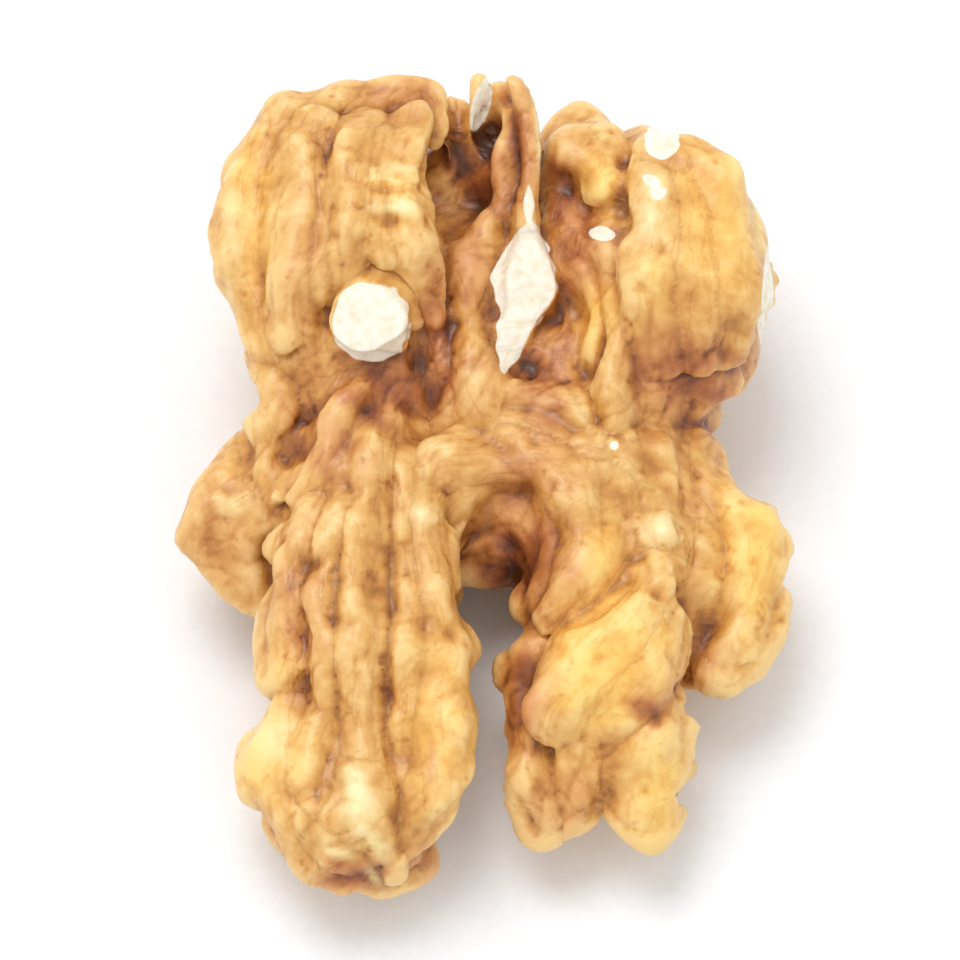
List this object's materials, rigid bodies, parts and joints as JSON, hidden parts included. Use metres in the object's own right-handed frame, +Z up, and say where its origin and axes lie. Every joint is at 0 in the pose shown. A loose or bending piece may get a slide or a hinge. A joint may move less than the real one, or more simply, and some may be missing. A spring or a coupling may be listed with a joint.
{
  "type": "walnut kernel half",
  "caption": "Shelled half of a walnut kernel with folded lobes on its inner face and two legs round a narrow notch, lying on its round outer side.",
  "frame": {"origin": "on the surface it lies on, under the middle of its box", "axes": "+Z up, +Y along the kernel from the legs to the radicle tip, +X across it to the right as seen from the legs"},
  "size_m": [0.0276, 0.037, 0.0133],
  "materials": {
    "kernel_skin": "dry seed skin, golden tan on the lobes and reddish brown in the folds, slightly oily, with chalky white rubbed and broken spots"
  },
  "bodies": {
    "root": {"kernel": "kernel_skin"}
  },
  "joints": []
}
